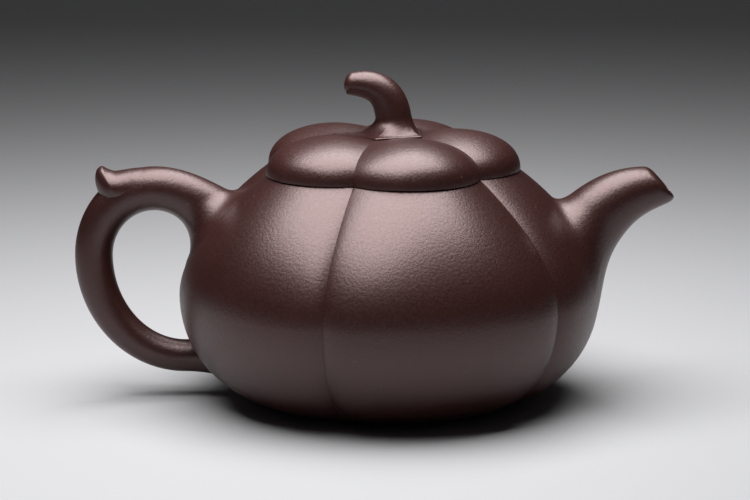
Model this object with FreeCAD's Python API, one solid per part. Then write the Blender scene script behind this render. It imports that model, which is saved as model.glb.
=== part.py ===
import FreeCAD, Part
import os
from math import cos, radians, sin

# Five-lobed clay teapot, in millimetres. Z is up, the spout points along +X and the handle along -X.
# The foot stands on Z = 0 and the pot's axis is the Z axis. Angles are in degrees.

# Pot wall, a bowl and a shoulder luted at the belly: crest sizes of the lobes, and how deep their grooves are
LOBES = 5
LOBE_FULLNESS = 3
FOOT_RADIUS = 31.0
FOOT_GROOVE = 1.6
FOOT_SLOPE = 10.0
BELLY_RADIUS = 55.0
BELLY_GROOVE = 1.8
BELLY_HEIGHT = 28.5
SEAT_RADIUS = 33.6
SEAT_GROOVE = 5.0
SEAT_HEIGHT = 60.0
SHOULDER_SLOPE = 36.0
WALL = 2.5

# Base disc, let into the foot with a bevelled edge and dished underneath
BASE_RADIUS = 24.0
BASE_BEVEL = 1.5
BASE_DISH = 1.2

# Mouth ring, and the lid flange that runs in it
MOUTH_RADIUS = 24.0
MOUTH_RING_WALL = 2.6
MOUTH_RING_HEIGHT = 5.5
FLANGE_CLEARANCE = 0.3
FLANGE_WALL = 2.5
FLANGE_DEPTH = 7.0

# Lid: a lobed cushion over the mouth, hollow underneath
LID_RADIUS = 34.2
LID_GROOVE = 5.4
LID_EDGE = 1.2
LID_RISE = 10.2
LID_CROWN_RADIUS = 16.0
LID_CHEEK = 0.66
LID_GROOVE_TURN = 0.68
LID_WALL = 3.0
VENT_RADIUS = 0.9
VENT_OFFSET = 14.0

# Calyx with its points in the grooves of the lid, and the bent stem that is the knob
CALYX_POINT_RADIUS = 10.6
CALYX_WAIST_RADIUS = 8.6
CALYX_SINK = 1.3
CALYX_HEIGHT = 3.7
CALYX_COLLAR_RADIUS = 4.9
STEM_RADIUS = 4.7
STEM_END_RADIUS = 2.7
STEM_RISE = 10.0
STEM_REACH = 11.0
STEM_LEAN = 0.8

# Spout: its path starts inside the wall and ends level, cut off on a slant
SPOUT_ROOT_SINK = 10.0
SPOUT_ROOT_HEIGHT = 37.0
SPOUT_ROOT_SLOPE = 50.0
SPOUT_ROOT_RADIUS = 10.3
SPOUT_FLARE = 1.4
SPOUT_REACH = 71.1
SPOUT_HEIGHT = 55.8
SPOUT_NOSE = 4.6
SPOUT_NOSE_RADIUS = 2.6
SPOUT_WALL = 1.7
SPOUT_CUT_SLOPE = 43.0

# Strainer dome over the spout's inlet
STRAINER_ADVANCE = 7.9
STRAINER_RADIUS = 10.5
STRAINER_WALL = 1.6
STRAINER_HOLE_RADIUS = 1.3
STRAINER_RING_HOLES = 8
STRAINER_RING_TILT = 34.0

# Handle: a round loop from the shoulder to below the belly
HANDLE_REACH = 76.7
HANDLE_GRIP_HEIGHT = 37.0
HANDLE_GRIP_RADIUS = 4.7
HANDLE_CROWN_SETBACK = 16.2
HANDLE_CROWN_HEIGHT = 54.8
HANDLE_CROWN_RADIUS = 5.7
HANDLE_HEEL_OFFSET = 53.0
HANDLE_HEEL_HEIGHT = 10.4
HANDLE_HEEL_RADIUS = 4.2
HANDLE_ROOT_OFFSET = 38.0
HANDLE_ROOT_HEIGHT = 45.0
HANDLE_ROOT_RADIUS = 8.0
HANDLE_ARM_LIFT = 1.2

# Thumb curl at the handle's upper bend
CURL_ROOT_RADIUS = 4.6
CURL_TIP_RADIUS = 2.4
CURL_RISE = 3.2
CURL_SETBACK = 2.0
CURL_SINK = 0.6
CURL_DIP = 1.0

# How finely curves are sampled, and how far cutting tools reach past what they cut
LOBE_STEPS = 8
CURVE_STEPS = 8
OVERRUN = 6.0
ROUND_PULL = 0.5523

Vector = FreeCAD.Vector
UP = Vector(0, 0, 1)
SIDE = Vector(0, 1, 0)
CALYX_BASE = SEAT_HEIGHT + LID_RISE - CALYX_SINK
CALYX_TOP = CALYX_BASE + CALYX_HEIGHT
FLANGE_RADIUS = MOUTH_RADIUS - FLANGE_CLEARANCE
HANDLE_CROWN_OFFSET = HANDLE_REACH - HANDLE_CROWN_SETBACK
MOUTH_RING_RADIUS = MOUTH_RADIUS + MOUTH_RING_WALL


def at(offset, height):
    """Point of the XZ plane, where every profile and path of the teapot lies."""
    return Vector(offset, 0, height)


def heading(slope):
    """Unit direction in the XZ plane, at a slope above +X."""
    return at(cos(radians(slope)), sin(radians(slope)))


def bezier(*poles):
    curve = Part.BezierCurve()
    curve.setPoles(list(poles))
    return curve


def quarter(start, corner, end):
    """Quarter of an ellipse from start to end, tangent to the lines that meet at the corner."""
    return bezier(start, start + (corner - start) * ROUND_PULL, end + (corner - end) * ROUND_PULL, end)


def turned(shape, angle):
    copy = shape.copy()
    copy.rotate(Vector(), UP, angle)
    return copy


def points_on(curves, steps):
    """Points along joined curves, so many steps on each, with each joint counted once."""
    points = [curves[0].value(0)]
    for curve, count in zip(curves, steps):
        points += [curve.value(step / count) for step in range(1, count + 1)]
    return points


def lobed_solid(crest, groove, steps):
    """Closed solid of equal lobes, each bulging from groove to groove over its crest."""
    grid = []
    for high, low in zip(points_on(crest, steps), points_on(groove, steps)):
        row = []
        for side in range(LOBE_STEPS + 1):
            across = 2 * side / LOBE_STEPS - 1
            point = low + (high - low) * (1 - abs(across) ** LOBE_FULLNESS)
            angle = across * radians(180 / LOBES)
            row.append(Vector(point.x * cos(angle), point.x * sin(angle), point.z))
        grid.append(row)
    surface = Part.BSplineSurface()
    surface.interpolate(grid)
    angles = [lobe * 360 / LOBES for lobe in range(LOBES)]
    faces = [turned(surface.toShape(), angle) for angle in angles]
    for end in surface.bounds()[:2]:
        rim = surface.uIso(end).toShape()
        faces.append(Part.Face(Part.Wire([turned(rim, angle) for angle in angles])))
    shell = Part.makeShell(faces)
    shell.sewShape()
    solid = Part.makeSolid(shell)
    if solid.Volume < 0:
        solid.reverse()
    return solid


def revolved(outline):
    """Solid of revolution about the pot's axis, from a closed outline of edges."""
    return Part.Face(Part.Wire(outline)).revolve(Vector(), UP, 360)


def line(start, end):
    return Part.makeLine(start, end)


def ring(inner, outer, bottom, height):
    tube = Part.makeCylinder(outer, height, at(0, bottom))
    return tube.cut(Part.makeCylinder(inner, height, at(0, bottom)))


def lofted_tube(stations):
    """Solid through round sections, each given as a centre, a direction and a radius."""
    wires = []
    for centre, direction, radius in stations:
        wire = Part.Wire([Part.Circle(Vector(), UP, radius).toShape()])
        rotation = FreeCAD.Rotation(SIDE.cross(direction), SIDE, direction, "ZYX")
        wire.Placement = FreeCAD.Placement(centre, rotation)
        wires.append(wire)
    return Part.makeLoft(wires, True)


def body_curves(inset_foot, inset_belly, inset_seat):
    """Profile of the pot wall from foot to seat, set in from the crest of the lobes."""
    foot = at(FOOT_RADIUS - inset_foot, 0)
    belly = at(BELLY_RADIUS - inset_belly, BELLY_HEIGHT)
    seat = at(SEAT_RADIUS - inset_seat, SEAT_HEIGHT)
    lower_pull = (BELLY_RADIUS - FOOT_RADIUS) * ROUND_PULL
    upper_pull = (BELLY_RADIUS - SEAT_RADIUS) * ROUND_PULL
    lower = bezier(foot, foot + heading(FOOT_SLOPE) * lower_pull,
                   belly - UP * (BELLY_HEIGHT * ROUND_PULL), belly)
    upper = bezier(belly, belly + UP * upper_pull,
                   seat + heading(-SHOULDER_SLOPE) * upper_pull, seat)
    return [lower, upper]


def pot_outside():
    groove = body_curves(FOOT_GROOVE, BELLY_GROOVE, SEAT_GROOVE)
    return lobed_solid(body_curves(0, 0, 0), groove, (CURVE_STEPS, CURVE_STEPS))


def chamber():
    """Round tea chamber, one wall thickness inside the grooves."""
    inside = []
    for curve in body_curves(FOOT_GROOVE, BELLY_GROOVE, SEAT_GROOVE):
        for step in range(CURVE_STEPS + 1):
            along = curve.tangent(step / CURVE_STEPS)[0]
            inside.append(curve.value(step / CURVE_STEPS) + at(-along.z, along.x) * WALL)
    del inside[CURVE_STEPS]
    wall = Part.BSplineCurve()
    wall.interpolate(inside)
    floor = at(0, inside[0].z)
    ceiling = at(0, inside[-1].z)
    return revolved([line(floor, inside[0]), wall.toShape(), line(inside[-1], ceiling), line(ceiling, floor)])


def base_blank(floor_height):
    return Part.makeCone(BASE_RADIUS, BASE_RADIUS + BASE_BEVEL, floor_height)


def base_disc(floor_height):
    """Round slab that closes the foot, dished underneath so that only the foot ring stands."""
    sphere_radius = (BASE_RADIUS ** 2 + BASE_DISH ** 2) / (2 * BASE_DISH)
    return base_blank(floor_height).cut(Part.makeSphere(sphere_radius, at(0, BASE_DISH - sphere_radius)))


def spout_path():
    root = at(BELLY_RADIUS - SPOUT_ROOT_SINK, SPOUT_ROOT_HEIGHT)
    end = at(SPOUT_REACH + SPOUT_NOSE, SPOUT_HEIGHT)
    pull = (end - root).Length / 2.5
    return bezier(root, root + heading(SPOUT_ROOT_SLOPE) * (pull * 0.98), end - at(pull * 1.2, 0), end)


def spout_tube(thinner, flare):
    """Tube along the spout's path, tapering to a blunt nose, less thick by a wall for the bore."""
    path = spout_path()
    start = path.tangent(0)[0]
    stations = [(path.value(0) - start * (2 * OVERRUN), start, SPOUT_ROOT_RADIUS - thinner + flare)]
    for step in range(CURVE_STEPS + 1):
        along = 1 - (1 - step / CURVE_STEPS) ** 1.5
        taper = (SPOUT_ROOT_RADIUS - SPOUT_NOSE_RADIUS) * (1 - along) ** 0.5
        swell = flare * max(0, 1 - 2.2 * along) ** 2
        stations.append((path.value(along), path.tangent(along)[0], SPOUT_NOSE_RADIUS - thinner + taper + swell))
    return lofted_tube(stations)


def spout_offcut():
    """Block past the slanted mouth of the spout."""
    size = 2 * SPOUT_REACH
    block = Part.makeBox(size, size, size, Vector(0, -size / 2, -size / 2))
    block.rotate(Vector(), SIDE, -SPOUT_CUT_SLOPE)
    block.translate(at(SPOUT_REACH, SPOUT_HEIGHT))
    return block


def strainer(room):
    """Dome over the spout's inlet on the inside of the wall, pierced in the middle and in a ring."""
    onward = heading(SPOUT_ROOT_SLOPE)
    centre = spout_path().value(0) + onward * STRAINER_ADVANCE
    inward = onward * -1
    upright = inward.cross(SIDE)
    dome = Part.makeSphere(STRAINER_RADIUS, centre, inward).common(room)
    tools = [Part.makeSphere(STRAINER_RADIUS - STRAINER_WALL, centre, inward)]
    ways = [inward]
    for index in range(STRAINER_RING_HOLES):
        turn = radians((index + 0.5) * 360 / STRAINER_RING_HOLES)
        outward = SIDE * cos(turn) + upright * sin(turn)
        ways.append(inward * cos(radians(STRAINER_RING_TILT)) + outward * sin(radians(STRAINER_RING_TILT)))
    for way in ways:
        tools.append(Part.makeCylinder(STRAINER_HOLE_RADIUS, STRAINER_RADIUS + OVERRUN, centre, way))
    return dome.cut(tools)


def handle_stations():
    """Round sections of the handle from its upper root over the crown and the grip to the heel."""
    crown = at(-HANDLE_CROWN_OFFSET, HANDLE_CROWN_HEIGHT)
    grip = at(-HANDLE_REACH, HANDLE_GRIP_HEIGHT)
    heel = at(-HANDLE_HEEL_OFFSET, HANDLE_HEEL_HEIGHT)
    root = at(-HANDLE_ROOT_OFFSET, HANDLE_ROOT_HEIGHT)
    reach = (crown - root).Length / 3
    arm = bezier(root, root + (crown - root) * 0.35 + UP * HANDLE_ARM_LIFT, crown + at(reach, 0), crown)
    upper_bend = quarter(crown, at(grip.x, crown.z), grip)
    lower_bend = quarter(grip, at(grip.x, heel.z), heel)
    runs = ((arm, HANDLE_ROOT_RADIUS, HANDLE_CROWN_RADIUS),
            (upper_bend, HANDLE_CROWN_RADIUS, HANDLE_GRIP_RADIUS),
            (lower_bend, HANDLE_GRIP_RADIUS, HANDLE_HEEL_RADIUS))
    stations = []
    for curve, first, last in runs:
        for step in range(0, CURVE_STEPS, 2):
            along = step / CURVE_STEPS
            eased = along * along * (3 - 2 * along)
            stations.append((curve.value(along), curve.tangent(along)[0], first + (last - first) * eased))
    stations.append((heel, at(1, 0), HANDLE_HEEL_RADIUS))
    inner_end = at(-HANDLE_ROOT_OFFSET, HANDLE_HEEL_HEIGHT)
    stations.append((inner_end, at(1, 0), HANDLE_HEEL_RADIUS))
    return stations


def thumb_curl(loop):
    """Horn that rises out of the handle's upper bend, for the thumb."""
    root = at(-HANDLE_CROWN_OFFSET, HANDLE_CROWN_HEIGHT + HANDLE_CROWN_RADIUS - CURL_ROOT_RADIUS - CURL_SINK)
    tip = at(CURL_SETBACK - HANDLE_REACH, HANDLE_CROWN_HEIGHT + CURL_RISE)
    bend = at((root.x + 2 * tip.x) / 3, root.z - CURL_DIP)
    path = bezier(root, bend, tip)
    stations = []
    for step in range(0, CURVE_STEPS + 1, 2):
        along = step / CURVE_STEPS
        radius = CURL_ROOT_RADIUS - (CURL_ROOT_RADIUS - CURL_TIP_RADIUS) * along ** 2
        stations.append((path.value(along), path.tangent(along)[0], radius))
    return lofted_tube(stations).cut(loop)


def lid_flank(side, top):
    """Curve from the lid's side up to a top, a little fuller than a quarter of an ellipse."""
    rise = UP * ((top.z - side.z) * LID_CHEEK)
    reach = at((side.x - top.x) * ROUND_PULL, 0)
    return bezier(side, side + rise, top + reach, top)


def lid_crest():
    """Profile over the middle of a lid lobe, from the seat to the calyx."""
    rim = at(LID_RADIUS - LID_EDGE, SEAT_HEIGHT)
    side = at(LID_RADIUS, SEAT_HEIGHT + LID_EDGE)
    crown = at(LID_CROWN_RADIUS, SEAT_HEIGHT + LID_RISE)
    calyx = at(CALYX_WAIST_RADIUS, CALYX_BASE)
    edge = bezier(rim, side)
    flank = lid_flank(side, crown)
    dip = bezier(crown, at((crown.x + calyx.x) / 2, crown.z), calyx)
    return [edge, flank, dip]


def lid_groove():
    """Profile along the bottom of a lid groove, from the seat to a point of the calyx."""
    rim = at(LID_RADIUS - LID_EDGE - LID_GROOVE, SEAT_HEIGHT)
    side = at(LID_RADIUS - LID_GROOVE, SEAT_HEIGHT + LID_EDGE)
    calyx = at(CALYX_POINT_RADIUS, CALYX_BASE)
    edge = bezier(rim, side)
    flank, dip = lid_flank(side, calyx), lid_flank(side, calyx)
    flank.segment(0, LID_GROOVE_TURN)
    dip.segment(LID_GROOVE_TURN, 1)
    return [edge, flank, dip]


def lid_dome():
    """Lobed lid with a round hollow underneath and a vent hole in the groove towards the handle."""
    dome = lobed_solid(lid_crest(), lid_groove(), (2, CURVE_STEPS, CURVE_STEPS // 2))
    hollow_radius = FLANGE_RADIUS - FLANGE_WALL
    hollow_top = at(0, CALYX_BASE - LID_WALL)
    hollow_edge = at(hollow_radius, SEAT_HEIGHT)
    arch = quarter(hollow_edge, at(hollow_radius, hollow_top.z), hollow_top).toShape()
    bottom = at(0, SEAT_HEIGHT)
    hollow = revolved([line(bottom, hollow_edge), arch, line(hollow_top, bottom)])
    vent = Part.makeCylinder(VENT_RADIUS, 2 * LID_RISE, at(-VENT_OFFSET, SEAT_HEIGHT))
    return dome.cut([hollow, vent])


def lid_calyx():
    """Five-pointed flare from the top of the lid up to the stem."""
    collar = at(CALYX_COLLAR_RADIUS, CALYX_TOP)
    curves = []
    for foot_radius in (CALYX_WAIST_RADIUS, CALYX_POINT_RADIUS):
        curves.append([quarter(at(foot_radius, CALYX_BASE), at(CALYX_COLLAR_RADIUS, CALYX_BASE), collar)])
    return lobed_solid(*curves, (CURVE_STEPS,))


def stem_knob(calyx):
    """Bent stem that the lid is lifted by, let into the calyx and cut off square at its end."""
    root = at(STEM_LEAN, CALYX_TOP - CALYX_HEIGHT / 4)
    top = CALYX_TOP + STEM_RISE
    path = bezier(root, at(STEM_LEAN, top - STEM_RISE / 5), at(STEM_REACH * -0.3, top), at(-STEM_REACH, top))
    stations = []
    for step in range(CURVE_STEPS + 1):
        along = step / CURVE_STEPS
        radius = STEM_RADIUS + (STEM_END_RADIUS - STEM_RADIUS) * along
        stations.append((path.value(along), path.tangent(along)[0], radius))
    return lofted_tube(stations).cut(calyx)


def teapot():
    """Every piece of the teapot by its node name."""
    outside = pot_outside()
    room = chamber()
    floor_height = room.BoundBox.ZMin
    bore = spout_tube(SPOUT_WALL, 0)
    loop = lofted_tube(handle_stations())
    mouth = Part.makeCylinder(MOUTH_RING_RADIUS, MOUTH_RING_HEIGHT + OVERRUN, at(0, SEAT_HEIGHT - MOUTH_RING_HEIGHT))
    pieces = {}
    wall = outside.cut([room, mouth, base_blank(floor_height), bore])
    upper_half = Part.makeCylinder(2 * BELLY_RADIUS, SEAT_HEIGHT, at(0, BELLY_HEIGHT))
    pieces["body_bowl"] = wall.cut(upper_half)
    pieces["body_shoulder"] = wall.common(upper_half)
    pieces["base_disc"] = base_disc(floor_height)
    pieces["mouth_ring"] = ring(MOUTH_RADIUS, MOUTH_RING_RADIUS, SEAT_HEIGHT - MOUTH_RING_HEIGHT, MOUTH_RING_HEIGHT)
    pieces["spout"] = spout_tube(0, SPOUT_FLARE).cut([bore, outside, spout_offcut()])
    pieces["strainer_dome"] = strainer(room)
    pieces["handle_loop"] = loop.cut(outside)
    pieces["thumb_curl"] = thumb_curl(loop)
    pieces["lid_dome"] = lid_dome()
    pieces["lid_flange"] = ring(FLANGE_RADIUS - FLANGE_WALL, FLANGE_RADIUS, SEAT_HEIGHT - FLANGE_DEPTH, FLANGE_DEPTH)
    pieces["lid_calyx"] = lid_calyx()
    pieces["stem_knob"] = stem_knob(pieces["lid_calyx"])
    return pieces


os.makedirs("parts", exist_ok=True)
for name, shape in teapot().items():
    print(name, len(shape.Solids), shape.isValid(), round(shape.Volume))
    shape.Solids[0].exportStep("parts/" + name + ".step")
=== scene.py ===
import bmesh
import bpy
import numpy as np
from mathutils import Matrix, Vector


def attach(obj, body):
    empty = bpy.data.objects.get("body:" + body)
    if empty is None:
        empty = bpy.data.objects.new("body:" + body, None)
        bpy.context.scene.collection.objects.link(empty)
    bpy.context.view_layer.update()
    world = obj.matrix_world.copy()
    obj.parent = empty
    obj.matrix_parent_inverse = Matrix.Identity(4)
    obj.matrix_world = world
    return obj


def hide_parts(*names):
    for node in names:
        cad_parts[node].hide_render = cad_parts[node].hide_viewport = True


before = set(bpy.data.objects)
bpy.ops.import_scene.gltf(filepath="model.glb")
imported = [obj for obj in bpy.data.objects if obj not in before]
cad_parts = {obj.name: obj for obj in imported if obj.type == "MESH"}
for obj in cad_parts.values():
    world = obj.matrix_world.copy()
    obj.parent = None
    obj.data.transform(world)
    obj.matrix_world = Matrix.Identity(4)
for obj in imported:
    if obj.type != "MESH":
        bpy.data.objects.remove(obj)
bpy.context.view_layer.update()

# Shapes are worked out in millimetres and degrees, and turned to metres when a mesh is made.
MM = 0.001

# Pot wall: sizes at the crest of the lobes, and the grooves between them, a little crisper than in the solids
LOBES = 5
FOOT_RADIUS = 31.0
FOOT_GROOVE = 2.2
FOOT_SLOPE = 10.0
BELLY_RADIUS = 55.0
BELLY_GROOVE = 2.3
BELLY_HEIGHT = 28.5
SEAT_RADIUS = 33.6
SEAT_GROOVE = 5.0
SEAT_HEIGHT = 60.0
SHOULDER_SLOPE = 36.0
WALL = 2.0
EDGE_BAND = 0.25
BASE_RADIUS = 24.0
BASE_BEVEL = 1.5
MOUTH_RING_RADIUS = 26.6
INLET_STEP = 0.1
INLET_REACH = 4.0

# Lobes are full and turn in late at the belly, and are plain parabolas at the lid
CREASE_FULLNESS = 11
FULL_AT_BELLY = 0.64
FULL_AT_LID = 0.0

# Lid
LID_RADIUS = 34.2
LID_GROOVE = 5.4
LID_EDGE = 0.3
LID_RISE = 10.2
LID_CROWN_RADIUS = 16.0
LID_CHEEK = 0.66
LID_GROOVE_SPLIT = 0.32
LID_HOLLOW_RADIUS = 21.2
LID_HOLLOW_BAND = 0.3
LID_WALL = 3.0
VENT_RADIUS = 0.9
VENT_OFFSET = 14.0

# Calyx: a star that flares up from a narrow ledge, which fades out and draws in towards the handle
CALYX_POINT_RADIUS = 10.6
CALYX_WAIST_RADIUS = 8.6
CALYX_SINK = 1.3
CALYX_HEIGHT = 3.7
CALYX_SHELF = 0.9
CALYX_FLARE = 5.0
CALYX_FLARE_POWER = 2.6
CALYX_POINT_POWER = 5
CALYX_LEDGE = 0.62
CALYX_FADE = 0.5
CALYX_DRAW_IN = 0.1
LEDGE_INSETS = np.array([1.2, 0.15, 0.0, 0.0, 0.12, 0.4])
LEDGE_BELOW_BASE = np.array([0.9, 0.7, 0.4])
LEDGE_BELOW_TOP = np.array([0.35, 0.1, 0.0])

# Stem
STEM_RADIUS = 4.7
STEM_END_RADIUS = 2.95
STEM_TAPER = 1.8
STEM_RISE = 10.0
STEM_TOP_DROP = 0.4
STEM_REACH = 9.5
STEM_LEAN = 1.6
STEM_BEND_DROP = 2.0
STEM_BEND_REACH = 2.85
STEM_SLANT_FROM = 0.6
STEM_END_SLANT = 0.14
STEM_END_SWELL = 1.9
STEM_END_DROP = 0.1

# Spout: a pair of sizes is the one on top, and how much more there is underneath
SPOUT_ROOT = (45.0, 37.0)
SPOUT_ROOT_SLOPE = 50.0
SPOUT_ROOT_RADIUS = 10.3
SPOUT_MOUTH = (71.1, 55.6)
SPOUT_NOSE = 4.6
SPOUT_NOSE_RADIUS = 2.3
SPOUT_WIDENING = 0.5
SPOUT_PULL = 2.5
SPOUT_ROOT_PULL = 0.98
SPOUT_NOSE_PULL = 1.2
SPOUT_SPACING = 1.5
SPOUT_TAIL = (0.5, 10.0)
SPOUT_WALL = 1.7
SPOUT_CUT_SLOPE = 40.5
SPOUT_FLARE_UP = (4.5, 7.5)
SPOUT_FLARE_OUT = (3.0, 11.0)
LIP_ROUND = 2.6
LIP_SHARES = (0.65, 0.85)
BORE_SINK = 1.2
MOUTH_ADVANCE = 0.6

# Handle, with pairs of sizes as for the spout
HANDLE_ROOT = (-38.0, 45.0)
HANDLE_CROWN = (-60.5, 54.8)
HANDLE_GRIP = (-76.5, 37.0)
HANDLE_HEEL = (-53.0, 10.4)
HANDLE_ROOT_RADIUS = 6.6
HANDLE_CROWN_RADIUS = 5.7
HANDLE_GRIP_RADIUS = 4.9
HANDLE_HEEL_RADIUS = 4.2
HANDLE_HEEL_SPREAD = 3.0
HANDLE_PULL = 3
HANDLE_ARM_BEND = 0.35
HANDLE_ARM_LIFT = 0.4
HANDLE_FLARE_UP = (5.5, 5.0)
HANDLE_FLARE_OUT = (5.0, 5.5)
HEEL_FLARE_UP = 1.2
HEEL_FLARE_OUT = 0.9

# Thumb curl: its path and radius from knot to knot, and the slanted cut from tip to seam that ends it
CURL_X = np.array([-56.0, -59.0, -62.0, -66.0, -69.0, -71.2, -73.2, -75.2, -77.5, -80.0])
CURL_Z = np.array([54.3, 54.8, 54.8, 54.7, 54.8, 55.0, 55.5, 56.3, 57.5, 59.0])
CURL_RADIUS = np.array([5.0, 5.5, 5.55, 5.35, 4.8, 4.4, 4.3, 4.4, 4.6, 4.9])
CURL_TIP = np.array([-74.6, 61.3])
CURL_SEAM = np.array([-69.6, 52.0])
CURL_WIDE_FROM = -66.0
CURL_WIDE_OVER = 6.0
CURL_WIDENING = 0.25
CURL_EDGE = 0.9
CURL_FACE = 0.9
CURL_SWELL = 3.9
CURL_SWELL_POWER = 0.6

# Flares at the roots of spout and handle, which end just under the pot's surface
ROOT_STEP = 0.01
ROOT_SINK = 0.06
ROOT_BURY = 1.0
ROOT_FULLNESS = 1.25

# How finely the surfaces are sampled
PROFILE_STEPS = 120
LOBE_COLUMNS = 40
LID_STEPS = 40
COARSE = 4
VENT_POINTS = 32
VENT_ROWS = 4
INLET_POINTS = 64
STEM_COLUMNS = 24
STEM_STEPS = 90
STEM_END_ROWS = 12
SPOUT_STEPS = 120
SPOUT_TAIL_STEPS = 20
SPOUT_COLUMNS = 128
SPOUT_ROWS = 60
LIP_ROWS = 14
HANDLE_STEPS = 50
HANDLE_TAIL_STEPS = 30
HANDLE_COLUMNS = 96
HANDLE_ROWS = 90
FLARE_ROWS = 32
HEEL_FLARE_ROWS = 16
CURL_STEPS = 160
CURL_COLUMNS = 96
CURL_ROWS = 60
CURL_FACE_ROWS = 24
CURL_EDGE_ROWS = 8
CURVE_STEP = 1e-3
SLOPE_STEP = 0.05
ROW_MARGIN = 1e-6
POLE_DISTANCE = 1e-7
CUT_DISTANCE = 4e-6
HOLE_EDGE_ANGLE = 40.0

# Clay: colours, and for each noise the range of values that is spread over a range of effects
CLAY_DARK = (0.0225, 0.0052, 0.0041, 1.0)
CLAY_PALE = (0.0310, 0.0080, 0.0064, 1.0)
CLAY_SPECK = (0.12, 0.075, 0.062, 1.0)
CLAY_GLOSS = 0.88
CLAY_GLOSS_TINT = (1.0, 0.77, 0.76, 1.0)
GRAIN_NOISE = (1500.0, 2.0)
TONE_NOISE = (28.0, 3.0)
SPECK_NOISE = (900.0, 1.0)
TONE_RANGE = (0.3, 0.7, 0.0, 1.0)
GRAIN_RANGE = (0.55, 0.8, 0.0, 0.35)
SPECK_RANGE = (0.76, 0.80, 0.0, 0.5)
ROUGHNESS_RANGE = (0.3, 0.7, 0.34, 0.42)
BUMP_STRENGTH = 0.42
BUMP_DISTANCE = 0.00014

# Studio, in metres
FLOOR_COLOUR = (0.40, 0.40, 0.41, 1.0)
FLOOR_ROUGHNESS = 0.6
FLOOR_FRONT = -2.0
FLOOR_BACK = 0.8
FLOOR_FLAT_STEPS = 3
FLOOR_BEND = 0.5
FLOOR_BEND_START = 0.1
FLOOR_BEND_STEPS = 16
FLOOR_TOP = 2.5
FLOOR_HALF_WIDTH = 2.5
LAMP_PLACE = (-0.035, -0.013, 0.36)
LAMP_TARGET = (-0.03, -0.02, 0.0)
LAMP_SIZE = (0.44, 0.36)
LAMP_POWER = 3.75
ROOM_COLOUR = (0.8, 0.85, 0.9, 1.0)
ROOM_STRENGTH = 0.02
CAMERA_TARGET = (-0.0034, 0.0, 0.0385)
CAMERA_DISTANCE = 0.75
CAMERA_ELEVATION = 11.5
CAMERA_SENSOR = 36.0
MILLIMETRES_PER_PIXEL = 0.26
IMAGE_WIDTH = 750

ROUND_PULL = 0.5523
HALF_LOBE = np.pi / LOBES
CALYX_BASE = SEAT_HEIGHT + LID_RISE - CALYX_SINK
CALYX_TOP = CALYX_BASE + CALYX_HEIGHT


def heading(slope):
    """Unit direction in the XZ plane, at a slope above +X."""
    return np.array([np.cos(np.radians(slope)), np.sin(np.radians(slope))])


def unit(vectors):
    """Vectors made one long."""
    return vectors / np.linalg.norm(vectors, axis=-1, keepdims=True)


def flattened(vectors, normals):
    """Unit vectors along a surface: the part along the normal is taken out."""
    return unit(vectors - normals * np.einsum("ij,ij->i", vectors, normals)[:, None])


def eased(t):
    """Soft step from 0 to 1."""
    return t * t * (3 - 2 * t)


def grown(sizes, share):
    """First size of a pair, and as much of the second on top of it as the share says."""
    return sizes[0] + sizes[1] * share


def bezier(poles, t):
    """Point of a Bezier curve: the poles are blended in pairs until one is left."""
    t = np.asarray(t, float)[..., None]
    points = [np.asarray(pole, float) for pole in poles]
    while len(points) > 1:
        points = [(1 - t) * a + t * b for a, b in zip(points, points[1:])]
    return points[0]


def bezier_ways(poles, t):
    """Unit directions along a Bezier curve, from a small step to either side."""
    return unit(bezier(poles, np.minimum(t + CURVE_STEP, 1)) - bezier(poles, np.maximum(t - CURVE_STEP, 0)))


def quarter(start, corner, end):
    """Poles of a quarter ellipse from start to end, tangent to the lines that meet at the corner."""
    start, corner, end = (np.asarray(point, float) for point in (start, corner, end))
    return [start, start + (corner - start) * ROUND_PULL, end + (corner - end) * ROUND_PULL, end]


def spline(knots, values, t):
    """Natural cubic spline through the values at the knots."""
    step = np.diff(knots)
    slope = np.diff(values) / step
    count = len(knots)
    system = np.eye(count)
    right = np.zeros(count)
    inner = np.arange(1, count - 1)
    system[inner, inner - 1] = step[:-1]
    system[inner, inner] = 2 * (step[:-1] + step[1:])
    system[inner, inner + 1] = step[1:]
    right[inner] = 3 * (slope[1:] - slope[:-1])
    bend = np.linalg.solve(system, right)
    place = np.clip(np.searchsorted(knots, t, side="right") - 1, 0, count - 2)
    d = t - knots[place]
    h = step[place]
    first = slope[place] - h * (2 * bend[place] + bend[place + 1]) / 3
    return values[place] + d * (first + d * (bend[place] + d * (bend[place + 1] - bend[place]) / (3 * h)))


def joined(pieces):
    """Sampled curves one after the other, with each joint kept once."""
    return np.concatenate([pieces[0]] + [piece[1:] for piece in pieces[1:]])


def tangents(path):
    """Unit directions along a sampled path."""
    return unit(np.gradient(path, axis=0))


def in_space(path):
    """Path in the XZ plane as points in space."""
    return np.stack([path[:, 0], np.zeros(len(path)), path[:, 1]], -1)


def turn_angles(count):
    """Evenly spaced angles round a tube."""
    return np.linspace(0, 2 * np.pi, count, endpoint=False)


def hole_turn(count):
    """Angles round a hole's tube, set half a step aside so that its points miss the creases."""
    return (np.arange(count) + 0.5) * (2 * np.pi / count)


def around(per_lobe):
    """Angles round the axis in radians, closer together towards the grooves, over all the lobes."""
    across = np.sin(np.linspace(-np.pi / 2, np.pi / 2, per_lobe + 1)[:-1])
    return (np.arange(LOBES)[:, None] * 2 * HALF_LOBE + across * HALF_LOBE).ravel()


def bulge(angle, full):
    """Share of the way from groove to crest: a parabola, and in part a fuller curve that turns in late."""
    across = np.abs((angle + HALF_LOBE) % (2 * HALF_LOBE) - HALF_LOBE) / HALF_LOBE
    return 1 - (1 - full) * across ** 2 - full * across ** CREASE_FULLNESS


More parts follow.
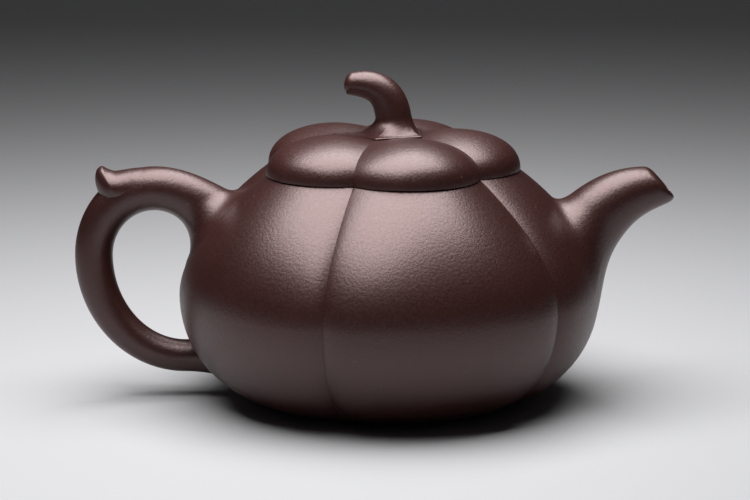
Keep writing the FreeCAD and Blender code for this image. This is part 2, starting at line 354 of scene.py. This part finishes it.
def fullness(height):
    """Share of the fuller curve in the pot's lobes, less and less from the belly up to the seat."""
    rise = np.clip((height - BELLY_HEIGHT) / (SEAT_HEIGHT - BELLY_HEIGHT), 0, 1)
    return FULL_AT_BELLY + (FULL_AT_LID - FULL_AT_BELLY) * rise


def lobed(crest, groove, angles):
    """Grid of points: crest and groove profiles blended by the bulge of each angle, then turned to it."""
    share = bulge(angles, fullness(crest[:, 1:]))[..., None]
    profile = groove[:, None] + (crest - groove)[:, None] * share
    radius = profile[..., 0]
    return np.stack([radius * np.cos(angles), radius * np.sin(angles), profile[..., 1]], -1)


def body_profile(inset_foot, inset_belly, inset_seat):
    """Outer profile of the pot from foot to seat, set in from the crest of the lobes."""
    foot = np.array([FOOT_RADIUS - inset_foot, 0.0])
    belly = np.array([BELLY_RADIUS - inset_belly, BELLY_HEIGHT])
    seat = np.array([SEAT_RADIUS - inset_seat, SEAT_HEIGHT])
    up = np.array([0.0, 1.0])
    lower_pull = (BELLY_RADIUS - FOOT_RADIUS) * ROUND_PULL
    upper_pull = (BELLY_RADIUS - SEAT_RADIUS) * ROUND_PULL
    lower = [foot, foot + heading(FOOT_SLOPE) * lower_pull, belly - up * (BELLY_HEIGHT * ROUND_PULL), belly]
    upper = [belly, belly + up * upper_pull, seat + heading(-SHOULDER_SLOPE) * upper_pull, seat]
    t = np.linspace(0, 1, PROFILE_STEPS)
    return joined([bezier(lower, t), bezier(upper, t)])


BODY_CREST = body_profile(0, 0, 0)
BODY_GROOVE = body_profile(FOOT_GROOVE, BELLY_GROOVE, SEAT_GROOVE)


def body_radius(points):
    """Radius of the pot's outside at the angle and height of each point."""
    height = points[..., 2]
    crest = np.interp(height, BODY_CREST[:, 1], BODY_CREST[:, 0])
    groove = np.interp(height, BODY_GROOVE[:, 1], BODY_GROOVE[:, 0])
    return groove + (crest - groove) * bulge(np.arctan2(points[..., 1], points[..., 0]), fullness(height))


def body_depth(points):
    """How far outside the pot each point is, measured away from the axis."""
    return np.hypot(points[..., 0], points[..., 1]) - body_radius(points)


def body_normal(points):
    """Outward normal of the pot, from small steps in the depth along each axis."""
    steps = SLOPE_STEP * np.eye(3)
    return unit(np.stack([body_depth(points + step) - body_depth(points - step) for step in steps], -1))


def on_body(points, sink):
    """The points moved straight to the pot's outside, or a little below it."""
    scale = (body_radius(points) - sink) / np.hypot(points[..., 0], points[..., 1])
    return np.stack([points[..., 0] * scale, points[..., 1] * scale, points[..., 2]], -1)


def clean(mesh, distance):
    """Joins points that fall together and takes out the faces and edges left without size."""
    shape = bmesh.new()
    shape.from_mesh(mesh)
    bmesh.ops.remove_doubles(shape, verts=shape.verts, dist=distance)
    bmesh.ops.dissolve_degenerate(shape, edges=shape.edges, dist=distance)
    shape.to_mesh(mesh)
    shape.free()


def grid_mesh(name, points, wrap_rows=False):
    """Mesh of a grid whose columns close on themselves; rows that shrink to a point become poles."""
    rows, columns = points.shape[:2]
    index = np.arange(rows * columns).reshape(rows, columns)
    if wrap_rows:
        index = np.concatenate([index, index[:1]])
    index = np.concatenate([index, index[:, :1]], axis=1)
    quads = np.stack([index[:-1, :-1], index[:-1, 1:], index[1:, 1:], index[1:, :-1]], -1).reshape(-1, 4)
    flat = points.reshape(-1, 3) * MM
    corners = flat[quads]
    volume = np.einsum("ij,ij->", corners[:, 0], np.cross(corners[:, 1], corners[:, 2]))
    volume += np.einsum("ij,ij->", corners[:, 0], np.cross(corners[:, 2], corners[:, 3]))
    if volume < 0:
        quads = quads[:, ::-1]
    mesh = bpy.data.meshes.new(name)
    mesh.from_pydata(flat.tolist(), [], quads.tolist())
    clean(mesh, POLE_DISTANCE)
    mesh.polygons.foreach_set("use_smooth", np.ones(len(mesh.polygons), bool))
    return mesh


def new_object(name, data):
    """Object for a mesh, a lamp or a camera, linked to the scene."""
    made = bpy.data.objects.new(name, data)
    bpy.context.scene.collection.objects.link(made)
    return made


def pole(ring):
    """Row of a grid that closes a ring at its middle."""
    return np.repeat(ring.mean(0)[None, None], len(ring), 1)


def cut_hole(piece, rings):
    """Takes a closed tube out of a piece by an exact Boolean and keeps the resulting mesh."""
    tube = new_object("hole", grid_mesh("hole", np.concatenate([pole(rings[0]), rings, pole(rings[-1])])))
    cut = piece.modifiers.new("hole", "BOOLEAN")
    cut.operation, cut.solver, cut.object = "DIFFERENCE", "EXACT", tube
    whole = piece.data
    mesh = bpy.data.meshes.new_from_object(piece.evaluated_get(bpy.context.evaluated_depsgraph_get()))
    piece.modifiers.clear()
    mesh.name = whole.name + "_cut"
    clean(mesh, CUT_DISTANCE)
    mesh.set_sharp_from_angle(angle=np.radians(HOLE_EDGE_ANGLE))
    piece.data = mesh
    spare = tube.data
    bpy.data.objects.remove(tube)
    for old in (whole, spare):
        bpy.data.meshes.remove(old)


def mesh_piece(name, points, body, nodes, material, wrap_rows=False, hole=None):
    """Object from a grid of points, with a hole if asked, that rides a body in place of solids."""
    mesh = grid_mesh(name, points, wrap_rows)
    mesh.materials.append(material)
    piece = new_object(name, mesh)
    if hole is not None:
        cut_hole(piece, hole)
    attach(piece, body)
    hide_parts(*nodes)


def ring_points(centres, directions, radii, angles):
    """Rings square to a path in the XZ plane: centre plus radius along the turned up and side vectors."""
    up = np.stack([-directions[:, 1], directions[:, 0]], -1)
    cos, sin = np.cos(angles), np.sin(angles)
    x = centres[:, None, 0] + radii[:, None] * up[:, None, 0] * cos
    z = centres[:, None, 1] + radii[:, None] * up[:, None, 1] * cos
    return np.stack([x, radii[:, None] * sin, z], -1)


def row_length(lines):
    """Length of each column of a grid of lines."""
    return np.linalg.norm(np.diff(lines, axis=0), axis=-1).sum(0)


def at_share(lines, share):
    """Point on each column of a grid of lines, at its own share of the way along the rows."""
    rows = len(lines) - 1
    place = np.clip(share * rows, 0, rows - ROW_MARGIN)
    low = place.astype(int)
    column = np.arange(lines.shape[1])
    part = (place - low)[..., None]
    return lines[low, column] * (1 - part) + lines[low + 1, column] * part


def first_crossing(values):
    """Share of the way along the rows where each column of values first passes below zero."""
    below = values < 0
    row = np.maximum(np.argmax(below, axis=0), 1)
    column = np.arange(values.shape[1])
    before, after = values[row - 1, column], values[row, column]
    return (row - 1 + before / (before - after)) / (len(values) - 1)


def round_corner(start, corner, end, count):
    """Rows between two rings that round off the corner ring, as a Bezier curve of three poles."""
    turn = np.linspace(0, 1, count)[1:-1, None, None]
    return (1 - turn) ** 2 * start + 2 * turn * (1 - turn) * corner + turn ** 2 * end


def root_blend(lines, centres, reach_up, reach_out, steps):
    """Flare from a tube onto the pot, and the share of each line where it begins.

    Each line of the tube is left a little before it meets the pot, and a Hermite curve takes it to a point
    on the pot a little outside the meeting point, tangent to the tube at one end and to the pot at the other.
    """
    meet = first_crossing(body_depth(lines))
    begin = meet - reach_up / row_length(lines)
    touch = at_share(lines, meet)
    middle = at_share(np.repeat(centres[:, None], lines.shape[1], 1), meet)
    outward = flattened(touch - middle, body_normal(touch))
    start = at_share(lines, begin)
    start_way = unit(at_share(lines, begin + ROOT_STEP) - start)
    end = on_body(touch + outward * np.broadcast_to(reach_out, meet.shape)[:, None], ROOT_SINK)
    end_way = flattened(end - touch, body_normal(end))
    pull = np.linalg.norm(end - start, axis=-1, keepdims=True) * ROOT_FULLNESS
    h = np.linspace(0, 1, steps)[:, None, None]
    curve = ((2 * h ** 3 - 3 * h ** 2 + 1) * start + (h ** 3 - 2 * h ** 2 + h) * pull * start_way
             + (3 * h ** 2 - 2 * h ** 3) * end + (h ** 3 - h ** 2) * pull * end_way)
    return begin, np.concatenate([curve, on_body(end, ROOT_BURY)[None]])


def body_wall(material):
    """Closed profile carried round the axis: outside, seat, mouth hole, chamber, base hole and foot."""
    along = tangents(BODY_GROOVE)
    inner = BODY_GROOVE + np.stack([-along[:, 1], along[:, 0]], -1) * WALL
    inner = inner[::-COARSE]
    mouth = [[MOUTH_RING_RADIUS, SEAT_HEIGHT], [MOUTH_RING_RADIUS, inner[0, 1]]]
    base = [[BASE_RADIUS + BASE_BEVEL, inner[-1, 1]], [BASE_RADIUS, 0.0]]
    band = np.array([[EDGE_BAND, 0.0]])
    crest, groove = (np.concatenate([outside, outside[-1] - band, mouth, inner, base, outside[0] - band])
                     for outside in (BODY_CREST, BODY_GROOVE))
    centres, bore = spout_lines(SPOUT_WALL + INLET_STEP, hole_turn(INLET_POINTS))
    inlet = bore[body_depth(centres) < INLET_REACH]
    points = lobed(crest, groove, around(LOBE_COLUMNS))
    nodes = ["body_bowl", "body_shoulder"]
    mesh_piece("pot_wall", points, "pot", nodes, material, wrap_rows=True, hole=inlet)


def spout_lines(thinner, angles):
    """Centres and ring grid of the spout, from its nose back into the pot."""
    root = np.array(SPOUT_ROOT)
    end = np.array(SPOUT_MOUTH) + np.array([SPOUT_NOSE, 0.0])
    pull = np.linalg.norm(end - root) / SPOUT_PULL
    rising = root + heading(SPOUT_ROOT_SLOPE) * (pull * SPOUT_ROOT_PULL)
    level = end - np.array([pull * SPOUT_NOSE_PULL, 0.0])
    poles = [root, rising, level, end]
    t = 1 - np.linspace(0, 1, SPOUT_STEPS) ** SPOUT_SPACING
    centres, directions = bezier(poles, t), bezier_ways(poles, t)
    widening = (SPOUT_ROOT_RADIUS - SPOUT_NOSE_RADIUS) * (1 - t) ** SPOUT_WIDENING
    radii = SPOUT_NOSE_RADIUS - thinner + widening
    tail = centres[-1] - directions[-1] * np.linspace(*SPOUT_TAIL, SPOUT_TAIL_STEPS)[:, None]
    centres = np.concatenate([centres, tail])
    directions = np.concatenate([directions, np.repeat(directions[-1:], SPOUT_TAIL_STEPS, 0)])
    radii = np.concatenate([radii, np.repeat(radii[-1:], SPOUT_TAIL_STEPS)])
    return in_space(centres), ring_points(centres, directions, radii, angles)


def past_mouth(points):
    """How far past the slanted plane of the spout's mouth each point lies."""
    normal = heading(SPOUT_CUT_SLOPE)
    ahead = points[..., 0] - SPOUT_MOUTH[0] - MOUTH_ADVANCE
    above = points[..., 2] - SPOUT_MOUTH[1]
    return ahead * normal[0] + above * normal[1]


def spout(material):
    """Outside from the lip to the flared root, closed by the bore, with a rounded lip between them."""
    angles = turn_angles(SPOUT_COLUMNS)
    under = (1 - np.cos(angles)) / 2
    centres, outer = spout_lines(0.0, angles)
    flare_up, flare_out = grown(SPOUT_FLARE_UP, under), grown(SPOUT_FLARE_OUT, under)
    root_start, root = root_blend(outer, centres, flare_up, flare_out, FLARE_ROWS)
    share = np.linspace(0, 1, SPOUT_ROWS)[:, None]
    lip_start = first_crossing(past_mouth(outer))
    skin_start = lip_start + LIP_ROUND * grown(LIP_SHARES, under) / row_length(outer)
    skin = at_share(outer, skin_start + share * (root_start - skin_start))
    bore = spout_lines(SPOUT_WALL, angles)[1]
    bore_start = first_crossing(past_mouth(bore))
    bore_end = first_crossing(body_depth(bore) + BORE_SINK)
    inside = at_share(bore, bore_start + share * (bore_end - bore_start))
    lip = round_corner(inside[0], at_share(outer, lip_start), skin[0], LIP_ROWS)
    points = np.concatenate([inside[::-1], lip, skin, root[1:]])
    mesh_piece("spout_skin", points, "pot", ["spout"], material, wrap_rows=True)


def handle(material):
    """Round loop through crown, grip and heel, flared onto the shoulder and joined below the belly."""
    corners = (HANDLE_ROOT, HANDLE_CROWN, HANDLE_GRIP, HANDLE_HEEL)
    root, crown, grip, heel = (np.array(point) for point in corners)
    bend = root + (crown - root) * HANDLE_ARM_BEND + np.array([0, HANDLE_ARM_LIFT])
    level = crown + np.array([np.linalg.norm(crown - root) / HANDLE_PULL, 0])
    upper = quarter(crown, (grip[0], crown[1]), grip)
    lower = quarter(grip, (grip[0], heel[1]), heel)
    t = np.linspace(0, 1, HANDLE_STEPS)
    tail_share = np.linspace(0, 1, HANDLE_TAIL_STEPS)
    tail = np.linspace(heel, (root[0], heel[1]), HANDLE_TAIL_STEPS)
    centres = joined([bezier([root, bend, level, crown], t), bezier(upper, t), bezier(lower, t), tail])
    sizes = (HANDLE_ROOT_RADIUS, HANDLE_CROWN_RADIUS, HANDLE_GRIP_RADIUS, HANDLE_HEEL_RADIUS)
    runs = [first + (last - first) * eased(t) for first, last in zip(sizes, sizes[1:])]
    radii = joined(runs + [HANDLE_HEEL_RADIUS + HANDLE_HEEL_SPREAD * tail_share ** 2])
    angles = turn_angles(HANDLE_COLUMNS)
    rings = ring_points(centres, tangents(centres), radii, angles)
    line = in_space(centres)
    half = len(line) // 2
    top_rings, low_rings = rings[half::-1], rings[half:]
    under = (1 + np.cos(angles)) / 2
    flare_up, flare_out = grown(HANDLE_FLARE_UP, under), grown(HANDLE_FLARE_OUT, under)
    top_start, top_root = root_blend(top_rings, line[half::-1], flare_up, flare_out, FLARE_ROWS)
    low_start, low_root = root_blend(low_rings, line[half:], HEEL_FLARE_UP, HEEL_FLARE_OUT, HEEL_FLARE_ROWS)
    share = np.linspace(0, 1, HANDLE_ROWS)[:, None]
    top = np.concatenate([at_share(top_rings, share * top_start)[:-1], top_root, pole(top_root[-1])])
    low = np.concatenate([at_share(low_rings, share * low_start)[1:-1], low_root, pole(low_root[-1])])
    mesh_piece("handle_grip", np.concatenate([top[::-1], low]), "pot", ["handle_loop"], material)


def thumb_curl(material):
    """Horn that goes straight on where the handle bends down: a tube cut on a slant, with a swollen end."""
    t = np.linspace(0, 1, CURL_STEPS)
    knots = np.linspace(0, 1, len(CURL_X))
    centres = np.stack([spline(knots, CURL_X, t), spline(knots, CURL_Z, t)], -1)
    angles = turn_angles(CURL_COLUMNS)
    rings = ring_points(centres, tangents(centres), spline(knots, CURL_RADIUS, t), angles)
    widened = eased(np.clip((CURL_WIDE_FROM - centres[:, 0]) / CURL_WIDE_OVER, 0, 1))
    rings[..., 1] *= 1 + CURL_WIDENING * widened[:, None]
    way = unit(CURL_SEAM - CURL_TIP)
    normal = np.array([way[1], -way[0]])
    past = (rings[..., 0] - CURL_TIP[0]) * normal[0] + (rings[..., 2] - CURL_TIP[1]) * normal[1]
    stop = first_crossing(-past)
    rim = at_share(rings, stop)
    skin = at_share(rings, np.linspace(0, 1, CURL_ROWS)[:, None] * (stop - CURL_EDGE / row_length(rings)))
    middle = rim.mean(0)
    inward = np.linspace(CURL_FACE, 0, CURL_FACE_ROWS)[:, None, None]
    swell = np.array([normal[0], 0, normal[1]]) * CURL_SWELL
    end = middle + (rim - middle) * inward + swell * (1 - inward ** 2) ** CURL_SWELL_POWER
    edge = round_corner(skin[-1], rim, end[0], CURL_EDGE_ROWS)
    points = np.concatenate([pole(skin[0]), skin, edge, end])
    mesh_piece("thumb_rest", points, "pot", ["thumb_curl"], material)


def lid_flank(top, side):
    """Poles of the curve from a top of the lid down to its side, a little fuller than a quarter ellipse."""
    brow = top + np.array([(side[0] - top[0]) * ROUND_PULL, 0])
    cheek = side + np.array([0, (top[1] - side[1]) * LID_CHEEK])
    return [top, brow, cheek, side]


def lid(material):
    """Lobed cushion from the middle over crown and flank to the rim, and the hollow underneath."""
    t = np.linspace(0, 1, LID_STEPS)
    crown = np.array([LID_CROWN_RADIUS, SEAT_HEIGHT + LID_RISE])
    waist = np.array([CALYX_WAIST_RADIUS, CALYX_BASE])
    point = np.array([CALYX_POINT_RADIUS, CALYX_BASE])
    crest_side = np.array([LID_RADIUS, SEAT_HEIGHT + LID_EDGE])
    groove_side = np.array([LID_RADIUS - LID_GROOVE, SEAT_HEIGHT + LID_EDGE])
    crest_dip = bezier([waist, [(crown[0] + waist[0]) / 2, crown[1]], crown], t)
    crest_flank = bezier(lid_flank(crown, crest_side), t)
    groove_run = lid_flank(point, groove_side)
    groove_dip = bezier(groove_run, LID_GROOVE_SPLIT * t)
    groove_flank = bezier(groove_run, LID_GROOVE_SPLIT + (1 - LID_GROOVE_SPLIT) * t)
    hollow_top = CALYX_BASE - LID_WALL
    hollow_side = (LID_HOLLOW_RADIUS, SEAT_HEIGHT)
    hollow = bezier(quarter(hollow_side, (LID_HOLLOW_RADIUS, hollow_top), (0, hollow_top)), t)
    under = np.concatenate([[[LID_HOLLOW_RADIUS + LID_HOLLOW_BAND, SEAT_HEIGHT]], hollow])
    profiles = []
    for dip, flank, side in ((crest_dip, crest_flank, crest_side), (groove_dip, groove_flank, groove_side)):
        rim = (side[0] - LID_EDGE, SEAT_HEIGHT)
        edge = bezier(quarter(side, (side[0], SEAT_HEIGHT), rim), t[::COARSE])
        profiles.append(np.concatenate([[[0.0, CALYX_BASE]], joined([dip, flank, edge]), under]))
    turn = hole_turn(VENT_POINTS)
    height = np.linspace(SEAT_HEIGHT + LID_EDGE, CALYX_TOP, VENT_ROWS)[:, None]
    vent = np.stack(np.broadcast_arrays(
        VENT_RADIUS * np.cos(turn) - VENT_OFFSET, VENT_RADIUS * np.sin(turn), height), -1)
    points = lobed(*profiles, around(LOBE_COLUMNS))
    mesh_piece("lid_cushion", points, "lid", ["lid_dome"], material, hole=vent)


def stem(material):
    """Five-pointed calyx with a narrow ledge that flares up into a bent stem with a rounded, slanted end.

    The calyx rows are lobed rings and the stem rows are rings along a cubic path: over the flare, each row
    is a blend of the two, so the star eases into the round stem.
    """
    angles = around(STEM_COLUMNS)
    behind = np.clip(-np.cos(angles), 0, 1) ** 2
    narrowed = 1 - CALYX_DRAW_IN * behind
    star = CALYX_POINT_RADIUS - CALYX_SHELF
    star = star + (CALYX_WAIST_RADIUS - CALYX_POINT_RADIUS) * bulge(angles, FULL_AT_LID)
    star = star * narrowed

    # Rings along the stem's path, widened and levelled towards the star over the flare
    ledge_top = CALYX_BASE + CALYX_LEDGE
    top = CALYX_TOP + STEM_RISE - STEM_TOP_DROP
    upright = [(STEM_LEAN, ledge_top), (STEM_LEAN, top - STEM_BEND_DROP)]
    poles = upright + [(-STEM_BEND_REACH, top), (-STEM_REACH, top)]
    s = np.linspace(0, 1, STEM_STEPS)
    centres = bezier(poles, s)
    radii = STEM_END_RADIUS + (STEM_RADIUS - STEM_END_RADIUS) * (1 - s ** STEM_TAPER)
    rings = ring_points(centres, bezier_ways(poles, s), radii, np.pi - angles)
    axis = in_space(centres)[:, None]
    rise = np.clip((centres[:, 1:] - ledge_top) / CALYX_FLARE, 0, 1)
    flare = (1 - rise) ** CALYX_FLARE_POWER
    tips = (1 - rise) ** CALYX_POINT_POWER * (star - star.mean())
    widened = 1 + flare * (star.mean() / STEM_RADIUS - 1) + tips / STEM_RADIUS
    rings = axis + (rings - axis) * widened[..., None]
    tilt = (rings[..., 2] - axis[..., 2]) * rise
    slant = np.clip((s[:, None] - STEM_SLANT_FROM) / (1 - STEM_SLANT_FROM), 0, 1) ** 2 * STEM_END_SLANT
    rings[..., 0] += slant * tilt - STEM_LEAN * flare
    rings[..., 2] = axis[..., 2] + tilt - CALYX_FADE * behind * flare

    # Ledge of the star, from its middle underneath out and up to the flare
    height = np.concatenate([CALYX_BASE - LEDGE_BELOW_BASE, ledge_top - LEDGE_BELOW_TOP])
    waist, point = (np.stack([radius - LEDGE_INSETS, height], -1)
                    for radius in (CALYX_WAIST_RADIUS, CALYX_POINT_RADIUS))
    ledge = lobed(waist, point, angles)
    ledge[..., :2] *= narrowed[:, None]
    ledge[..., 2] -= CALYX_FADE * behind
    start = np.repeat([[[0.0, 0.0, height[0]]]], len(angles), 1)

    # Rounded end
    middle = rings[-1].mean(0)
    out = np.linspace(0, 1, STEM_END_ROWS)[1:, None, None]
    swell = out * np.array([-STEM_END_SWELL, 0.0, -STEM_END_DROP])
    end = middle + (rings[-1] - middle) * np.sqrt(1 - out ** 2) + swell
    points = np.concatenate([start, ledge, rings, end])
    mesh_piece("stem_and_calyx", points, "lid", ["lid_calyx", "stem_knob"], material)


def grain_group():
    """Clay grain: fine noise for colour and height, sparse specks, and slow changes of tone."""
    group = bpy.data.node_groups.new("clay_grain", "ShaderNodeTree")
    sockets = (("Dark", "INPUT", "Color"), ("Pale", "INPUT", "Color"), ("Color", "OUTPUT", "Color"),
               ("Roughness", "OUTPUT", "Float"), ("Height", "OUTPUT", "Float"))
    for name, side, kind in sockets:
        group.interface.new_socket(name, in_out=side, socket_type="NodeSocket" + kind)
    nodes, links = group.nodes, group.links
    inside = nodes.new("NodeGroupInput")
    outside = nodes.new("NodeGroupOutput")
    place = nodes.new("ShaderNodeTexCoord").outputs["Object"]

    def noise(scale, detail):
        node = nodes.new("ShaderNodeTexNoise")
        node.inputs["Scale"].default_value = scale
        node.inputs["Detail"].default_value = detail
        links.new(place, node.inputs["Vector"])
        return node.outputs["Fac"]

    def ranged(value, limits):
        node = nodes.new("ShaderNodeMapRange")
        links.new(value, node.inputs["Value"])
        for socket, number in zip(("From Min", "From Max", "To Min", "To Max"), limits):
            node.inputs[socket].default_value = number
        return node.outputs["Result"]

    def mixed(share, first, second):
        node = nodes.new("ShaderNodeMix")
        node.data_type = "RGBA"
        links.new(share, node.inputs["Factor"])
        for socket, value in zip(("A", "B"), (first, second)):
            target = [entry for entry in node.inputs if entry.name == socket and entry.type == "RGBA"][0]
            if isinstance(value, tuple):
                target.default_value = value
            else:
                links.new(value, target)
        return [entry for entry in node.outputs if entry.type == "RGBA"][0]

    grain = noise(*GRAIN_NOISE)
    dark, pale = inside.outputs["Dark"], inside.outputs["Pale"]
    toned = mixed(ranged(noise(*TONE_NOISE), TONE_RANGE), dark, pale)
    grained = mixed(ranged(grain, GRAIN_RANGE), toned, pale)
    speckled = mixed(ranged(noise(*SPECK_NOISE), SPECK_RANGE), grained, CLAY_SPECK)
    links.new(speckled, outside.inputs["Color"])
    links.new(ranged(grain, ROUGHNESS_RANGE), outside.inputs["Roughness"])
    links.new(grain, outside.inputs["Height"])
    return group


def new_material(name):
    """Material, and the inputs of its Principled shader."""
    material = bpy.data.materials.new(name)
    material.use_nodes = True
    return material, material.node_tree.nodes["Principled BSDF"].inputs


def clay_material(name):
    """Unglazed burnished clay: satin gloss over a fine grain."""
    material, shader = new_material(name)
    nodes, links = material.node_tree.nodes, material.node_tree.links
    grain = nodes.new("ShaderNodeGroup")
    grain.node_tree = grain_group()
    grain.inputs["Dark"].default_value = CLAY_DARK
    grain.inputs["Pale"].default_value = CLAY_PALE
    bump = nodes.new("ShaderNodeBump")
    bump.inputs["Strength"].default_value = BUMP_STRENGTH
    bump.inputs["Distance"].default_value = BUMP_DISTANCE
    links.new(grain.outputs["Color"], shader["Base Color"])
    links.new(grain.outputs["Roughness"], shader["Roughness"])
    links.new(grain.outputs["Height"], bump.inputs["Height"])
    links.new(bump.outputs["Normal"], shader["Normal"])
    shader["Specular IOR Level"].default_value = CLAY_GLOSS
    shader["Specular Tint"].default_value = CLAY_GLOSS_TINT
    return material


def studio_floor():
    """Pale sweep: a flat floor that curves up into a back wall, as a profile carried along X."""
    bend = np.linspace(FLOOR_BEND_START, np.pi / 2, FLOOR_BEND_STEPS)
    flat = np.linspace(FLOOR_FRONT, FLOOR_BACK, FLOOR_FLAT_STEPS)
    depth = np.concatenate([flat, FLOOR_BACK + FLOOR_BEND * np.sin(bend), [FLOOR_BACK + FLOOR_BEND]])
    height = np.concatenate([np.zeros(FLOOR_FLAT_STEPS), FLOOR_BEND - FLOOR_BEND * np.cos(bend), [FLOOR_TOP]])
    side = np.array([-FLOOR_HALF_WIDTH, FLOOR_HALF_WIDTH])
    points = np.stack(np.broadcast_arrays(side[None, :], depth[:, None], height[:, None]), -1)
    index = np.arange(len(depth) * 2).reshape(-1, 2)
    quads = np.stack([index[:-1, 0], index[:-1, 1], index[1:, 1], index[1:, 0]], -1)
    mesh = bpy.data.meshes.new("studio_floor")
    mesh.from_pydata(points.reshape(-1, 3).tolist(), [], quads.tolist())
    mesh.polygons.foreach_set("use_smooth", np.ones(len(quads), bool))
    material, shader = new_material("pale_floor")
    shader["Base Color"].default_value = FLOOR_COLOUR
    shader["Roughness"].default_value = FLOOR_ROUGHNESS
    mesh.materials.append(material)
    floor = new_object("studio_floor", mesh)


def place_facing(thing, place, target):
    """Puts a lamp or camera in its place and turns it to a target."""
    thing.location = place
    thing.rotation_euler = (target - place).to_track_quat("-Z", "Y").to_euler()


def studio_light():
    """One broad softbox overhead and a dim room."""
    lamp = bpy.data.lights.new("overhead_softbox", "AREA")
    lamp.shape = "RECTANGLE"
    lamp.size, lamp.size_y = LAMP_SIZE
    lamp.energy = LAMP_POWER
    place_facing(new_object("overhead_softbox", lamp), Vector(LAMP_PLACE), Vector(LAMP_TARGET))
    world = bpy.data.worlds.new("studio_room")
    world.use_nodes = True
    room = world.node_tree.nodes["Background"].inputs
    room["Color"].default_value = ROOM_COLOUR
    room["Strength"].default_value = ROOM_STRENGTH
    bpy.context.scene.world = world


def camera():
    """Camera at the photograph's angle: above the table, square to the spout and handle."""
    lens = bpy.data.cameras.new("photo_view")
    lens.sensor_width = CAMERA_SENSOR
    lens.lens = CAMERA_SENSOR * CAMERA_DISTANCE / (MILLIMETRES_PER_PIXEL * MM * IMAGE_WIDTH)
    viewer = new_object("photo_view", lens)
    target = Vector(CAMERA_TARGET)
    back, up = heading(CAMERA_ELEVATION)
    place_facing(viewer, target + Vector((0.0, -back, up)) * CAMERA_DISTANCE, target)
    bpy.context.scene.camera = viewer


clay = clay_material("burnished_clay")
for make in (body_wall, spout, handle, thumb_curl, lid, stem):
    make(clay)
for node in ("base_disc", "mouth_ring", "strainer_dome", "lid_flange"):
    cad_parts[node].data.materials.clear()
    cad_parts[node].data.materials.append(clay)
studio_floor()
studio_light()
camera()
bpy.context.scene.view_settings.view_transform = "Standard"
